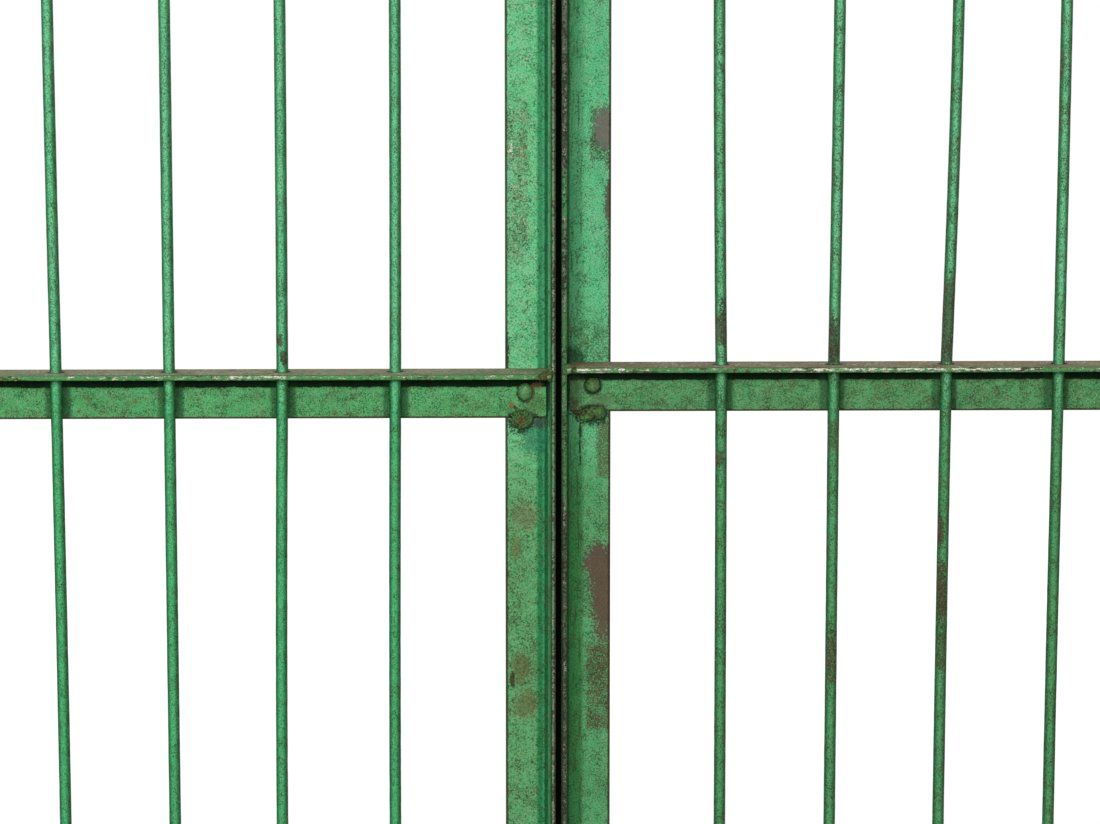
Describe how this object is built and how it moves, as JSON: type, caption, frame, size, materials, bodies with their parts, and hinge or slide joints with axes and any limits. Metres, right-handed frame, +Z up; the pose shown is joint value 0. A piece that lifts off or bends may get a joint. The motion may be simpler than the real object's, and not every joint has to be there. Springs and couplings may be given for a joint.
{
  "type": "wrought iron gate",
  "caption": "Two-leaf iron gate: angle-iron stiles and rails with round upright bars, hung on box posts by pin and eye hinges, shutting against a slim centre stop post.",
  "frame": {"origin": "centre of the underside of the left post's foot plate, on the ground", "axes": "+X along the gate to the right as the picture shows it, +Y away from the viewer, +Z up"},
  "size_m": [2.3623, 0.2, 2.176],
  "materials": {
    "leaf_paint": "worn green paint with rust and bare patches",
    "bar_paint": "worn green paint with rust specks",
    "eye_paint": "worn green paint, rusty at the pin",
    "post_paint": "worn green paint",
    "stop_paint": "dark dirty paint",
    "foot_iron": "bare rusty iron",
    "pin_iron": "bare rusty iron"
  },
  "bodies": {
    "posts": {"left_foot_plate": "foot_iron", "left_post": "post_paint", "left_cap": "post_paint", "right_foot_plate": "foot_iron", "right_post": "post_paint", "right_cap": "post_paint", "stop_foot_plate": "foot_iron", "stop_post": "stop_paint", "stop_lid": "stop_paint", "left_lower_pin": "pin_iron", "left_upper_pin": "pin_iron", "right_lower_pin": "pin_iron", "right_upper_pin": "pin_iron"},
    "left_leaf": {"left_hinge_stile": "leaf_paint", "left_meeting_stile": "leaf_paint", "left_top_rail": "leaf_paint", "left_middle_rail": "leaf_paint", "left_bottom_rail": "leaf_paint", "left_bar_1": "bar_paint", "left_bar_2": "bar_paint", "left_bar_3": "bar_paint", "left_bar_4": "bar_paint", "left_bar_5": "bar_paint", "left_bar_6": "bar_paint", "left_bar_7": "bar_paint", "left_lower_eye": "eye_paint", "left_upper_eye": "eye_paint"},
    "right_leaf": {"right_hinge_stile": "leaf_paint", "right_meeting_stile": "leaf_paint", "right_top_rail": "leaf_paint", "right_middle_rail": "leaf_paint", "right_bottom_rail": "leaf_paint", "right_bar_1": "bar_paint", "right_bar_2": "bar_paint", "right_bar_3": "bar_paint", "right_bar_4": "bar_paint", "right_bar_5": "bar_paint", "right_bar_6": "bar_paint", "right_bar_7": "bar_paint", "right_lower_eye": "eye_paint", "right_upper_eye": "eye_paint"}
  },
  "joints": [
    {"name": "left_leaf_swing", "type": "hinge", "parent": "posts", "child": "left_leaf", "pos_m": [0.07, -0.025, 0], "axis": [0, 0, -1], "range_deg": [0, 100]},
    {"name": "right_leaf_swing", "type": "hinge", "parent": "posts", "child": "right_leaf", "pos_m": [2.1123, -0.025, 0], "axis": [0, 0, 1], "range_deg": [0, 100]}
  ]
}
